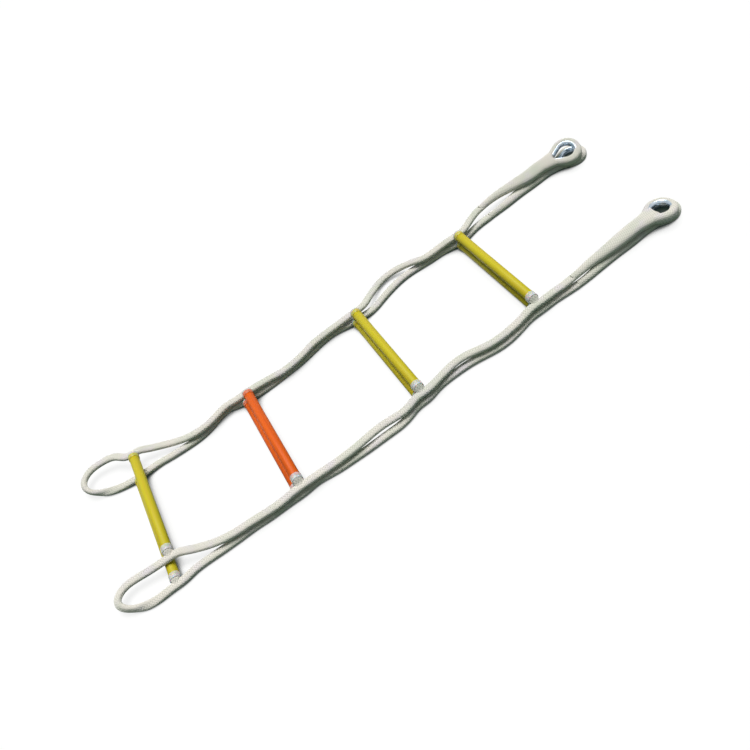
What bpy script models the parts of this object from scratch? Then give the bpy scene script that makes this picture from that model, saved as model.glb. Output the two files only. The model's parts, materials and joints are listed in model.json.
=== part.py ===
"""Insulating rope ladder of eight rungs, folded once across its middle and laid flat.

Each side rope starts in a thimble eye, passes four rungs, turns back in a loop and passes four
more rungs underneath, down to a second eye below the first. Rungs 1 to 4 lie on top and rungs
5 to 8 below them, so rung 8 is under rung 1. A rung is an epoxy glass tube on a cross cord,
closed by a collar at each end. The cross cord is woven into a knot of the side rope there.
+X runs along the ladder to the eyes, +Y along the rungs to the left side, +Z up from the floor.
"""
import math

import bmesh
import bpy
from mathutils import Matrix, Vector

GAP = 0.0003

# Rung
TUBE_LENGTH = 0.300
TUBE_RADIUS = 0.011
TUBE_WALL = 0.003
COLLAR_LENGTH = 0.014
COLLAR_WALL = 0.0008
COLLAR_CAP = 0.0024
CROSS_CORD_RADIUS = 0.0065
CORD_CLEARANCE = 0.0005
ROUND_SIDES = 16

# Side rope and its woven knots
ROPE_RADIUS = 0.008
KNOT_COVER = 0.001
KNOT_HALF_LENGTH = 0.010
KNOT_HALF_HEIGHT = 0.0094
KNOT_TAPER = 0.0015
KNOT_FIRST_SINK = 0.0016
KNOT_ROUNDING = 0.88
ROPE_LEAD = 0.004
BAY_STEP = 0.034
LOOP_STEP = 0.015
ROPE_BEVEL_STEPS = 2
CURVE_PIECES = 24

# Eye
EYE_HOLE_RADIUS = 0.0175
THIMBLE_WALL = 0.001
THIMBLE_HALF_HEIGHT = 0.0082
GROOVE_CLEARANCE = 0.0007
THIMBLE_LEG = 0.024
THIMBLE_TAPER = math.radians(31)
THIMBLE_LIP = 0.0025
THIMBLE_LIP_EDGE = -0.0044
THIMBLE_SHOULDER = (-0.0089, 0.0056)
THIMBLE_FLANK_HEIGHT = 0.0026
THIMBLE_BEND_STEPS = 18
GROOVE_ARC = math.radians(116)
GROOVE_STEPS = 6
THROAT_REACH = 0.070
THROAT_CLEARANCE = 0.0004
THROAT_PULL = 0.7
THROAT_STEP = 0.011
EYE_BEND_STEPS = 14
SPLICE_START = 0.35
SPLICE_END = 0.95
LEG_SIDES = 12
LEG_STEP = 0.030
LEG_FLATNESS = 0.25
SHARP_ANGLE = math.radians(40)

# Lay of the folded ladder: how far each rung lies off its even place, along and across
RUNG_SPACING = 0.300
TOP_ROW_X = -0.5680
BOTTOM_ROW_X = -0.5804
MIDDLE_Y = -0.0076
RUNG_SHIFT = {
    1: (-0.0076, 0.006),
    2: (-0.0073, -0.016),
    3: (-0.0089, -0.036),
    4: (0.0, 0.005),
    5: (0.0, -0.046),
    6: (-0.0085, -0.036),
    7: (-0.0022, -0.019),
    8: (0.003, 0.004),
}

# Rung 4's knots lie higher: the left one on its loop, the right one on the tube of rung 5
KNOT_LIFT = {("left", 4): 0.004, ("right", 4): 0.0033}

# Tips of the two loops: reach from rung 4 and offset outward of the knots
LOOP_REACH = 0.134
LOOP_TIP_OUT = {"left": 0.0175, "right": 0.0105}

# Eyes: reach from the end rung, offset outward of the knots, height of the middle, and turn
# about the vertical, rise towards the crown and rise towards the left, in degrees
EYE_PLACE = {
    ("left", 1): (0.336, 0.0298, 0.0335, -8, 3, 20),
    ("left", 8): (0.3523, 0.0365, 0.0082, -3, 0, 0),
    ("right", 1): (0.335, -0.0278, 0.0270, 3, -3, 0),
    ("right", 8): (0.3493, -0.0375, 0.0082, 8, 0, 0),
}

# Rope routes between their two ends. Each point is the share of the way along the ladder,
# the offset outward from the straight line between the ends, and the lift above the height
# at which that layer of rope lies.
BAY_ROUTES = {
    ("left", 1, 2): [(0.09, 0.005, 0.0016), (0.21, 0.006, 0.0003), (0.32, 0.011, 0.0003),
                     (0.38, 0.022, 0.0003), (0.44, 0.035, -0.0045), (0.52, 0.048, -0.0095),
                     (0.61, 0.055, -0.0126), (0.71, 0.052, -0.0132), (0.80, 0.038, -0.0100),
                     (0.88, 0.021, -0.0038), (0.95, 0.004, 0.0014)],
    ("left", 2, 3): [(0.10, 0.002, 0.0014), (0.20, 0.004, 0.0003), (0.32, 0.004, 0.0003),
                     (0.42, 0.001, 0.0003), (0.52, -0.008, 0.0003), (0.62, -0.011, 0.0003),
                     (0.72, -0.012, 0.0003), (0.82, -0.005, 0.0003), (0.92, -0.002, 0.0016)],
    ("left", 3, 4): [(0.08, -0.002, 0.0018), (0.15, 0.000, 0.0006), (0.23, -0.008, 0.0003),
                     (0.32, -0.021, 0.0003), (0.42, -0.030, 0.0003), (0.52, -0.034, 0.0003),
                     (0.59, -0.031, -0.0012), (0.67, -0.023, -0.0045), (0.76, -0.015, -0.0045),
                     (0.86, -0.008, -0.0016), (0.94, -0.003, 0.0016)],
    ("left", 8, 7): [(0.08, 0.008, 0.0003), (0.20, 0.011, 0.0), (0.32, 0.016, 0.0),
                     (0.44, 0.021, 0.0), (0.55, 0.020, 0.0), (0.66, 0.014, 0.0),
                     (0.77, 0.005, 0.0), (0.88, -0.005, 0.0), (0.95, -0.004, 0.0005)],
    ("left", 7, 6): [(0.08, 0.007, 0.0003), (0.16, 0.012, 0.0), (0.26, 0.011, 0.0),
                     (0.38, 0.005, 0.0), (0.52, -0.002, 0.0), (0.68, -0.004, 0.0),
                     (0.82, -0.005, 0.0), (0.93, -0.003, 0.0004)],
    ("left", 6, 5): [(0.08, 0.011, 0.0003), (0.16, 0.014, 0.0), (0.24, 0.007, 0.0),
                     (0.33, -0.003, 0.0), (0.44, -0.009, 0.0), (0.58, -0.008, 0.0),
                     (0.72, -0.005, 0.0), (0.88, 0.001, 0.0)],
    ("right", 1, 2): [(0.10, 0.004, 0.0014), (0.20, 0.007, 0.0003), (0.33, 0.008, 0.0003),
                      (0.43, 0.005, 0.0003), (0.52, -0.003, 0.0003), (0.61, -0.011, 0.0003),
                      (0.71, -0.015, 0.0003), (0.80, -0.012, 0.0003), (0.89, -0.008, 0.0006)],
    ("right", 2, 3): [(0.08, 0.006, 0.0018), (0.16, 0.007, 0.0005), (0.25, 0.003, 0.0003),
                      (0.36, 0.000, 0.0003), (0.48, 0.002, 0.0003), (0.61, 0.004, 0.0003),
                      (0.74, 0.003, 0.0003), (0.88, 0.000, 0.0007)],
    ("right", 3, 4): [(0.08, 0.005, 0.0018), (0.17, 0.010, 0.0005), (0.28, 0.013, 0.0003),
                      (0.40, 0.016, 0.0003), (0.52, 0.020, 0.0003), (0.64, 0.021, 0.0003),
                      (0.75, 0.017, 0.0003), (0.86, 0.010, 0.0018), (0.94, 0.005, 0.0050)],
    ("right", 8, 7): [(0.08, 0.002, 0.0003), (0.18, 0.008, 0.0), (0.29, 0.011, 0.0),
                      (0.39, 0.008, 0.0), (0.50, 0.000, 0.0), (0.60, -0.006, 0.0),
                      (0.72, -0.009, 0.0), (0.84, -0.010, 0.0), (0.93, -0.007, 0.0003)],
    ("right", 7, 6): [(0.08, 0.008, 0.0003), (0.17, 0.013, 0.0), (0.30, 0.012, 0.0),
                      (0.45, 0.011, 0.0), (0.60, 0.008, 0.0), (0.73, 0.005, 0.0),
                      (0.84, -0.001, 0.0), (0.93, -0.004, 0.0003)],
    ("right", 6, 5): [(0.10, -0.001, 0.0002), (0.22, -0.001, 0.0), (0.34, -0.004, 0.0),
                      (0.50, -0.004, 0.0), (0.66, -0.005, 0.0), (0.80, -0.007, 0.0),
                      (0.92, -0.006, 0.0003)],
}
LOOP_ROUTES = {
    ("left", 4): [(0.08, 0.006, 0.0085), (0.17, 0.018, 0.0082), (0.27, 0.027, 0.0070),
                  (0.38, 0.031, 0.0055), (0.50, 0.033, 0.0040), (0.62, 0.0335, 0.0027),
                  (0.74, 0.032, 0.0017), (0.85, 0.026, 0.0009), (0.94, 0.017, 0.0002)],
    ("left", 5): [(0.10, -0.004, 0.0003), (0.22, -0.009, 0.0), (0.34, -0.013, 0.0),
                  (0.45, -0.016, 0.0003), (0.56, -0.018, 0.0010), (0.66, -0.019, 0.0025),
                  (0.75, -0.019, 0.0050), (0.85, -0.019, 0.0085), (0.93, -0.016, 0.0120)],
    ("right", 4): [(0.07, -0.001, 0.0066), (0.16, -0.005, 0.0035), (0.28, -0.009, 0.0014),
                   (0.40, -0.012, 0.0006), (0.52, -0.015, 0.0004), (0.66, -0.018, 0.0003),
                   (0.78, -0.018, 0.0003), (0.88, -0.015, 0.0002), (0.96, -0.007, -0.0001)],
    ("right", 5): [(0.11, 0.004, 0.0003), (0.23, 0.009, 0.0), (0.34, 0.013, 0.0),
                   (0.44, 0.015, 0.0), (0.54, 0.016, 0.0005), (0.63, 0.0165, 0.0015),
                   (0.72, 0.016, 0.0035), (0.80, 0.015, 0.0060), (0.88, 0.0125, 0.0090),
                   (0.94, 0.009, 0.0123)],
}
LEG_ROUTES = {
    ("left", 1): [(0.08, 0.006, 0.0040), (0.16, 0.015, 0.0034), (0.24, 0.023, 0.0022),
                  (0.32, 0.026, 0.0012), (0.42, 0.028, 0.0007), (0.53, 0.026, 0.0007),
                  (0.64, 0.019, 0.0015), (0.76, 0.010, 0.0028), (0.88, 0.001, 0.0042)],
    ("left", 8): [(0.08, 0.003, 0.0003), (0.19, 0.006, 0.0), (0.30, 0.004, 0.0),
                  (0.42, 0.002, 0.0), (0.53, 0.001, 0.0), (0.66, 0.003, 0.0),
                  (0.78, 0.002, 0.0), (0.89, 0.001, 0.0001)],
    ("right", 1): [(0.08, -0.001, 0.0022), (0.24, 0.000, 0.0006), (0.40, -0.002, 0.0003),
                   (0.56, -0.004, 0.0008), (0.68, -0.002, 0.0020), (0.80, -0.001, 0.0036),
                   (0.91, 0.000, 0.0052)],
    ("right", 8): [(0.08, -0.001, 0.0003), (0.23, 0.004, 0.0), (0.38, 0.008, 0.0),
                   (0.47, 0.007, 0.0), (0.56, 0.005, 0.0), (0.65, 0.003, 0.0),
                   (0.76, 0.001, 0.0), (0.88, 0.001, 0.0001)],
}

# Finishes: colour, roughness, metallic
YELLOW_TUBE = ((0.62, 0.52, 0.01), 0.35, 0.0)
ORANGE_TUBE = ((0.86, 0.08, 0.004), 0.35, 0.0)
WHITE_COLLAR = ((0.72, 0.71, 0.66), 0.45, 0.0)
ROPE_BRAID = ((0.66, 0.63, 0.55), 0.85, 0.0)
ZINC_PLATE = ((0.55, 0.60, 0.66), 0.28, 1.0)
ORANGE_RUNGS = (3, 6)

SIDES = {"left": 1, "right": -1}
TOP_ROW = (1, 2, 3, 4)

# Worked-out sizes
BORE_RADIUS = TUBE_RADIUS - TUBE_WALL
COLLAR_BORE = TUBE_RADIUS + GAP
COLLAR_RADIUS = COLLAR_BORE + COLLAR_WALL
CORD_HOLE = CROSS_CORD_RADIUS + CORD_CLEARANCE
COLLAR_FACE = TUBE_LENGTH / 2 + GAP + COLLAR_CAP
KNOT_HALF_WIDTH = ROPE_RADIUS + KNOT_COVER
KNOT_OFFSET = COLLAR_FACE + GAP + KNOT_HALF_WIDTH
GROOVE_RADIUS = ROPE_RADIUS + GROOVE_CLEARANCE
EYE_BEND_RADIUS = EYE_HOLE_RADIUS + THIMBLE_WALL + GROOVE_RADIUS
THROAT_OFFSET = ROPE_RADIUS + THROAT_CLEARANCE

# Heights of the two layers, each resting on what is below it
FLAT_SHARE = math.cos(math.pi / ROUND_SIDES)
BOTTOM_RUNG_Z = COLLAR_RADIUS * FLAT_SHARE
TOP_RUNG_Z = 3 * BOTTOM_RUNG_Z + GAP
BOTTOM_KNOT_Z = KNOT_HALF_HEIGHT * FLAT_SHARE
TOP_KNOT_Z = 3 * BOTTOM_KNOT_Z + GAP
BOTTOM_ROPE_Z = ROPE_RADIUS
TOP_ROPE_Z = 3 * ROPE_RADIUS + GAP
FOLD_Z = (BOTTOM_RUNG_Z + TOP_RUNG_Z) / 2
FOLD_X = TOP_ROW_X - LOOP_REACH


def clear_scene():
    for thing in list(bpy.data.objects):
        bpy.data.objects.remove(thing, do_unlink=True)


def finish_of(name, finish):
    colour, roughness, metallic = finish
    material = bpy.data.materials.new(name)
    material.use_nodes = True
    shader = material.node_tree.nodes["Principled BSDF"]
    shader.inputs["Base Color"].default_value = (*colour, 1.0)
    shader.inputs["Roughness"].default_value = roughness
    shader.inputs["Metallic"].default_value = metallic
    return material


def add_piece(name, data, finish, axis, location=(0, 0, 0)):
    """Put a piece in the scene, carried by the empty on its joint's axis if it has one."""
    piece = bpy.data.objects.new(name, data)
    piece.location = location
    piece.data.materials.append(finish_of(name, finish))
    bpy.context.scene.collection.objects.link(piece)
    if axis is not None:
        piece.parent = axis
        piece.matrix_parent_inverse = axis.matrix_world.inverted()
    return piece


def mesh_from(name, build):
    """A mesh whose faces the build function adds, with its normals pointing out."""
    mesh = bpy.data.meshes.new(name)
    shape = bmesh.new()
    build(shape)
    bmesh.ops.recalc_face_normals(shape, faces=shape.faces)
    shape.to_mesh(mesh)
    shape.free()
    mesh.shade_smooth()
    mesh.set_sharp_from_angle(angle=SHARP_ANGLE)
    return mesh


def ring_about_y(shape, half_length, half_height, y, sink=0.0):
    """An oval ring about the Y axis, sunk below it, with one flat facing straight down."""
    turn = math.pi / ROUND_SIDES
    angles = [turn + 2 * math.pi * k / ROUND_SIDES for k in range(ROUND_SIDES)]
    return [
        shape.verts.new((half_length * math.sin(a), y, -half_height * math.cos(a) - sink))
        for a in angles
    ]


def bridge(shape, first, second):
    count = len(first)
    for k in range(count):
        after = (k + 1) % count
        shape.faces.new((first[k], first[after], second[after], second[k]))


def turned_ring(shape, profile):
    """A closed profile of (radius, y) points turned about the Y axis, with a hole through it."""
    rings = [ring_about_y(shape, radius, radius, y) for radius, y in profile]
    for k, ring in enumerate(rings):
        bridge(shape, ring, rings[(k + 1) % len(rings)])


def tube_mesh():
    half = TUBE_LENGTH / 2
    profile = [(TUBE_RADIUS, -half), (TUBE_RADIUS, half), (BORE_RADIUS, half), (BORE_RADIUS, -half)]
    return mesh_from("rung_tube", lambda shape: turned_ring(shape, profile))


def collar_mesh(side):
    """One collar of a rung: a sleeve over the tube's end and a cap with the cord's hole."""
    inside = COLLAR_FACE - COLLAR_CAP
    mouth = COLLAR_FACE - COLLAR_LENGTH
    sign = SIDES[side]
    return mesh_from("rung_collar", lambda shape: turned_ring(shape, [
        (COLLAR_RADIUS, sign * mouth),
        (COLLAR_RADIUS, sign * COLLAR_FACE),
        (CORD_HOLE, sign * COLLAR_FACE),
        (CORD_HOLE, sign * inside),
        (COLLAR_BORE, sign * inside),
        (COLLAR_BORE, sign * mouth),
    ]))


def knot_rings(shape, side, number):
    """Rings of a woven knot from the collar outwards; it lies lower than the cord in the tube."""
    sink = rung_place(number).z - knot_place(side, number).z
    start = KNOT_OFFSET - KNOT_HALF_WIDTH
    end = KNOT_OFFSET + KNOT_HALF_WIDTH
    flat = KNOT_HALF_WIDTH / 2
    long, high = KNOT_HALF_LENGTH, KNOT_HALF_HEIGHT
    rings = [
        (start, CROSS_CORD_RADIUS, CROSS_CORD_RADIUS, 0.0),
        (start + KNOT_TAPER, long * KNOT_ROUNDING, high * KNOT_ROUNDING, KNOT_FIRST_SINK),
        (KNOT_OFFSET - flat, long, high, sink),
        (KNOT_OFFSET + flat, long, high, sink),
        (end, long * KNOT_ROUNDING, high * KNOT_ROUNDING, sink),
    ]
    return [
        ring_about_y(shape, length, height, SIDES[side] * y, low) for y, length, height, low in rings
    ]


def cross_cord_mesh(number):
    """The cord through a rung, with the woven knots that join it to the side ropes."""
    def build(shape):
        rings = list(reversed(knot_rings(shape, "right", number)))
        rings += knot_rings(shape, "left", number)
        for first, second in zip(rings, rings[1:]):
            bridge(shape, first, second)
        shape.faces.new(rings[0])
        shape.faces.new(list(reversed(rings[-1])))

    return mesh_from("cross_cord", build)


def rung_place(number):
    along, across = RUNG_SHIFT[number]
    y = MIDDLE_Y + across
    if number in TOP_ROW:
        return Vector((TOP_ROW_X + RUNG_SPACING * (4 - number) + along, y, TOP_RUNG_Z))
    return Vector((BOTTOM_ROW_X + RUNG_SPACING * (number - 5) + along, y, BOTTOM_RUNG_Z))


def knot_place(side, number):
    rung = rung_place(number)
    height = TOP_KNOT_Z if number in TOP_ROW else BOTTOM_KNOT_Z
    height += KNOT_LIFT.get((side, number), 0.0)
    return Vector((rung.x, rung.y + SIDES[side] * KNOT_OFFSET, height))


def loop_tip(side):
    return Vector((FOLD_X, MIDDLE_Y + SIDES[side] * (KNOT_OFFSET + LOOP_TIP_OUT[side]), FOLD_Z))


def eye_frame(side, number):
    """The eye's place and turn: its own +X points from the throat to the crown."""
    reach, outward, height, turn, rise, roll = EYE_PLACE[side, number]
    x = rung_place(number).x + reach
    y = MIDDLE_Y + SIDES[side] * (KNOT_OFFSET + outward)
    return (
        Matrix.Translation((x, y, height))
        @ Matrix.Rotation(math.radians(turn), 4, "Z")
        @ Matrix.Rotation(math.radians(-rise), 4, "Y")
        @ Matrix.Rotation(math.radians(roll), 4, "X")
    )


def layer_height(number):
    return TOP_ROPE_Z if number in TOP_ROW else BOTTOM_ROPE_Z


def route_points(start, end, route, side, height):
    """A route's own points in the ladder's frame, between its two ends."""
    points = [start]
    for share, outward, lift in route:
        point = start.lerp(end, share)
        points.append(Vector((point.x, point.y + SIDES[side] * outward, height + lift)))
    points.append(end)
    return points


def smooth_curve(points, start_way, end_way, step):
    """Points about a step apart on the smooth curve that leaves and arrives the given ways."""
    lengths = [(b - a).length for a, b in zip(points, points[1:])]
    ways = [Vector(start_way)]
    for k in range(1, len(points) - 1):
        before = (points[k] - points[k - 1]) / lengths[k - 1]
        after = (points[k + 1] - points[k]) / lengths[k]
        ways.append((before * lengths[k] + after * lengths[k - 1]) / (lengths[k - 1] + lengths[k]))
    ways.append(Vector(end_way))
    fine = [points[0]]
    for k, length in enumerate(lengths):
        for n in range(1, CURVE_PIECES + 1):
            t = n / CURVE_PIECES
            fine.append(
                points[k] * (2 * t**3 - 3 * t**2 + 1)
                + ways[k] * length * (t**3 - 2 * t**2 + t)
                + points[k + 1] * (3 * t**2 - 2 * t**3)
                + ways[k + 1] * length * (t**3 - t**2)
            )
    return even_points(fine, step)


def even_points(fine, step):
    """The same line through evenly spaced points, its two ends kept."""
    travelled = [0.0]
    for a, b in zip(fine, fine[1:]):
        travelled.append(travelled[-1] + (b - a).length)
    count = max(2, round(travelled[-1] / step))
    even = [fine[0]]
    k = 0
    for n in range(1, count):
        goal = travelled[-1] * n / count
        while travelled[k + 1] < goal:
            k += 1
        share = (goal - travelled[k]) / (travelled[k + 1] - travelled[k])
        even.append(fine[k].lerp(fine[k + 1], share))
    even.append(fine[-1])
    return even


def above_floor(points):
    """The same points, lifted where the rope around them would reach below the floor."""
    return [Vector((point.x, point.y, max(point.z, ROPE_RADIUS))) for point in points]


def rope_curve(name, points):
    """A round rope through the points, its ends cut square."""
    curve = bpy.data.curves.new(name, "CURVE")
    curve.dimensions = "3D"
    curve.twist_mode = "Z_UP"
    curve.bevel_depth = ROPE_RADIUS
    curve.bevel_resolution = ROPE_BEVEL_STEPS
    curve.use_fill_caps = True
    spline = curve.splines.new("POLY")
    spline.points.add(len(points) - 1)
    for spot, point in zip(spline.points, points):
        spot.co = (*point, 1.0)
    spline.use_smooth = True
    return curve


def with_leads(start, start_way, end, end_way, inner):
    """The inner points between two short straight leads, so both ends are cut square."""
    return [start] + inner(start + start_way * ROPE_LEAD, end - end_way * ROPE_LEAD) + [end]


def rope_between(name, start, start_way, end, end_way, route, side, height, step):
    """A stretch of side rope that leaves its start and reaches its end the given ways."""
    def inner(first, last):
        points = route_points(first, last, route, side, height)
        return above_floor(smooth_curve(points, start_way, end_way, step))

    return rope_curve(name, with_leads(start, start_way, end, end_way, inner))


def add_bay(side, first, second, axis):
    """The stretch of side rope from one rung's knot to the next one's, towards the fold."""
    way = Vector((-1, 0, 0))
    off = way * (KNOT_HALF_LENGTH + GAP)
    name = f"{side}_rope_{min(first, second)}_{max(first, second)}"
    rope = rope_between(
        name, knot_place(side, first) + off, way, knot_place(side, second) - off, way,
        BAY_ROUTES[side, first, second], side, layer_height(first), BAY_STEP,
    )
    add_piece(name, rope, ROPE_BRAID, axis)


def add_loop(side, number, axis):
    """Half of the loop in which the side rope turns back, from the end knot to its tip."""
    way = Vector((-1, 0, 0))
    along_fold = Vector((0, -1, 0)) if number in TOP_ROW else Vector((0, 1, 0))
    name = f"{side}_loop_{number}"
    rope = rope_between(
        name, knot_place(side, number) + way * (KNOT_HALF_LENGTH + GAP), way,
        loop_tip(side) - along_fold * (GAP / 2), along_fold,
        LOOP_ROUTES[side, number], side, layer_height(number), LOOP_STEP,
    )
    add_piece(name, rope, ROPE_BRAID, axis)


def leg_ring(shape, centre, way, roll, half_width):
    """One cross-section of an eye leg: as high as the rope, and wider where it is doubled."""
    level = Vector((0, 0, 1)).cross(way).normalized()
    across = Matrix.Rotation(roll, 3, way) @ level
    up = way.cross(across)
    fullness = 1 - LEG_FLATNESS * (half_width - ROPE_RADIUS) / ROPE_RADIUS
    ring = []
    for k in range(LEG_SIDES):
        angle = 2 * math.pi * (k + 0.5) / LEG_SIDES
        x, z = math.cos(angle), math.sin(angle)
        wide = math.copysign(abs(x) ** fullness, x) * half_width
        high = math.copysign(abs(z) ** fullness, z) * ROPE_RADIUS
        ring.append(shape.verts.new(centre + across * wide + up * high))
    return ring


def doubled_share(share):
    """How far the splice has doubled the rope, from 0 at its start to 1 at its end."""
    t = min(1.0, max(0.0, (share - SPLICE_START) / (SPLICE_END - SPLICE_START)))
    return t * t * (3 - 2 * t)


def add_eye_leg(side, number, axis):
    """The side rope from the end rung to the throat, where its own end is spliced back in."""
    frame = eye_frame(side, number)
    end_way = frame.to_3x3() @ Vector((1, 0, 0))
    throat = frame @ Vector((-THROAT_REACH - GAP, 0, 0))
    way = Vector((1, 0, 0))
    start = knot_place(side, number) + way * (KNOT_HALF_LENGTH + GAP)
    roll = math.radians(EYE_PLACE[side, number][5])

    def inner(first, last):
        route = route_points(first, last, LEG_ROUTES[side, number], side, layer_height(number))
        return above_floor(smooth_curve(route, way, end_way, LEG_STEP))

    centres = with_leads(start, way, throat, end_way, inner)

    def build(shape):
        rings = []
        for k, centre in enumerate(centres):
            before = centres[max(0, k - 1)]
            after = centres[min(len(centres) - 1, k + 1)]
            doubled = doubled_share(k / (len(centres) - 1))
            half_width = ROPE_RADIUS + doubled * THROAT_OFFSET
            ring_way = (after - before).normalized()
            rings.append(leg_ring(shape, centre, ring_way, roll * doubled, half_width))
        for first, second in zip(rings, rings[1:]):
            bridge(shape, first, second)
        shape.faces.new(list(reversed(rings[0])))
        shape.faces.new(rings[-1])

    name = f"{side}_eye_leg_{number}"
    add_piece(name, mesh_from(name, build), ROPE_BRAID, axis)


def eye_bend(radius, leg, steps):
    """Points round the eye from one leg to the other, in the eye's own frame."""
    corner = math.pi / 2 + THIMBLE_TAPER
    way = Vector((-math.sin(corner), math.cos(corner), 0))
    tangent = Vector((math.cos(corner), math.sin(corner), 0)) * radius
    points = [tangent + way * leg * n / 2 for n in (2, 1)]
    for n in range(steps + 1):
        angle = corner - 2 * corner * n / steps
        points.append(Vector((math.cos(angle), math.sin(angle), 0)) * radius)
    points += [Vector((p.x, -p.y, 0)) for p in (points[1], points[0])]
    return points


def add_eye_rope(side, number, axis):
    """The rope round the thimble, its two legs side by side at the throat."""
    frame = eye_frame(side, number)
    bend = eye_bend(EYE_BEND_RADIUS, THIMBLE_LEG, EYE_BEND_STEPS)
    slant = (bend[0] - bend[1]).normalized() * THROAT_PULL
    throat = Vector((-THROAT_REACH + ROPE_LEAD, THROAT_OFFSET, 0))
    closing = smooth_curve([bend[0], throat], slant, (-1, 0, 0), THROAT_STEP)
    outer = [Vector((-THROAT_REACH, THROAT_OFFSET, 0))] + list(reversed(closing))
    inner = [Vector((p.x, -p.y, 0)) for p in reversed(outer)]
    name = f"{side}_eye_rope_{number}"
    points = [frame @ point for point in outer + bend[1:-1] + inner]
    add_piece(name, rope_curve(name, points), ROPE_BRAID, axis)


def thimble_section():
    """The thimble's channel as (outward, up) from the rope's centre, hole side at minus."""
    high = THIMBLE_HALF_HEIGHT
    outer = [
        (THIMBLE_LIP_EDGE, high),
        (THIMBLE_LIP_EDGE - THIMBLE_LIP, high),
        THIMBLE_SHOULDER,
        (-high, THIMBLE_FLANK_HEIGHT),
    ]
    outer += [(outward, -up) for outward, up in reversed(outer)]
    inner = []
    for n in range(GROOVE_STEPS + 1):
        angle = -math.pi + GROOVE_ARC * (0.5 - n / GROOVE_STEPS)
        inner.append((GROOVE_RADIUS * math.cos(angle), GROOVE_RADIUS * math.sin(angle)))
    return outer + inner


def add_thimble(side, number, axis):
    """The plated steel thimble: an open channel bent round the hole of the eye."""
    frame = eye_frame(side, number)
    path = eye_bend(EYE_BEND_RADIUS, THIMBLE_LEG, THIMBLE_BEND_STEPS)
    section = thimble_section()

    def build(shape):
        rings = []
        for k, point in enumerate(path):
            way = (path[min(len(path) - 1, k + 1)] - path[max(0, k - 1)]).normalized()
            outward = Vector((-way.y, way.x, 0))
            rings.append([
                shape.verts.new(frame @ (point + outward * out + Vector((0, 0, up))))
                for out, up in section
            ])
        for first, second in zip(rings, rings[1:]):
            bridge(shape, first, second)
        shape.faces.new(rings[0])
        shape.faces.new(list(reversed(rings[-1])))

    name = f"{side}_thimble_{number}"
    add_piece(name, mesh_from(name, build), ZINC_PLATE, axis)


def joint_axis(name, place):
    """An empty that marks a joint's axis, which runs along Y, and carries what turns on it."""
    axis = bpy.data.objects.new(name, None)
    axis.location = place
    bpy.context.scene.collection.objects.link(axis)
    bpy.context.view_layer.update()
    return axis


def add_rung(number, meshes, axis):
    place = rung_place(number)
    tube_finish = ORANGE_TUBE if number in ORANGE_RUNGS else YELLOW_TUBE
    for name, mesh, finish in (
        (f"rung_tube_{number}", meshes["tube"].copy(), tube_finish),
        (f"left_collar_{number}", meshes["left"].copy(), WHITE_COLLAR),
        (f"right_collar_{number}", meshes["right"].copy(), WHITE_COLLAR),
        (f"cross_cord_{number}", cross_cord_mesh(number), ROPE_BRAID),
    ):
        add_piece(name, mesh, finish, axis, place)


def build_ladder():
    meshes = {"tube": tube_mesh(), "left": collar_mesh("left"), "right": collar_mesh("right")}
    add_rung(5, meshes, None)
    fold = joint_axis("axis_fold", (FOLD_X, 0, FOLD_Z))
    add_rung(4, meshes, fold)
    for side in SIDES:
        add_loop(side, 5, None)
        add_loop(side, 4, fold)
    for first, second in ((3, 4), (2, 3), (1, 2), (6, 5), (7, 6), (8, 7)):
        axis = joint_axis(f"axis_rung_{second}", rung_place(second))
        add_rung(first, meshes, axis)
        for side in SIDES:
            add_bay(side, first, second, axis)
    for number in (1, 8):
        for side in SIDES:
            axis = joint_axis(f"axis_{side}_eye_{number}", rung_place(number))
            add_eye_leg(side, number, axis)
            add_eye_rope(side, number, axis)
            add_thimble(side, number, axis)
    for mesh in meshes.values():
        bpy.data.meshes.remove(mesh)


clear_scene()
build_ladder()
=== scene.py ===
import json
import math

import bpy
import numpy as np
from mathutils import Matrix, Vector


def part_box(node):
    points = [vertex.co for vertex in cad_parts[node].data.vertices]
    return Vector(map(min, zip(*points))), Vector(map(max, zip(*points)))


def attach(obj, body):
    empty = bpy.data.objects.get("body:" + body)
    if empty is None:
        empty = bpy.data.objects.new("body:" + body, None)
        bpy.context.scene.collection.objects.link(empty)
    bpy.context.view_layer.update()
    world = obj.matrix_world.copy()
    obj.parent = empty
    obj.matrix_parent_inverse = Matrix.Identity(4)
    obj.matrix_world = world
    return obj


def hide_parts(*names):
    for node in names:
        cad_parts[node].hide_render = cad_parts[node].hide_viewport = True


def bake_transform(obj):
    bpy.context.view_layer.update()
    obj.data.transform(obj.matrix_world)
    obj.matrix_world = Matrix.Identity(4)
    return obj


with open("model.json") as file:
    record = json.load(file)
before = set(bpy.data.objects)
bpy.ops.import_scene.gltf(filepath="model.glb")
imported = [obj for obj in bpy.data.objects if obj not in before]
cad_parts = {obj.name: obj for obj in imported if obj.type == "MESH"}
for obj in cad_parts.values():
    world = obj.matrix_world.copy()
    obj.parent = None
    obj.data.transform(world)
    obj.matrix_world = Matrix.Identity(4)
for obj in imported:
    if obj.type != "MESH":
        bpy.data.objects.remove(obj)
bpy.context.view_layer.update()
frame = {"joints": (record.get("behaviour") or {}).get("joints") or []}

# The camera looks down on the folded ladder from its right side at about 45 degrees, tilted so
# that the ladder runs from the lower left of the picture, at its fold, to the eyes upper right.
camera_data = bpy.data.cameras.new("camera")
camera_data.sensor_width = 36.0
camera_data.lens = 38.75
camera = bpy.data.objects.new("camera", camera_data)
bpy.context.scene.collection.objects.link(camera)
camera.location = (-0.1406, -1.2681, 1.2223)
camera.rotation_euler = (math.radians(40.98), math.radians(21.28), math.radians(-28.05))
bpy.context.scene.camera = camera

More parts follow.
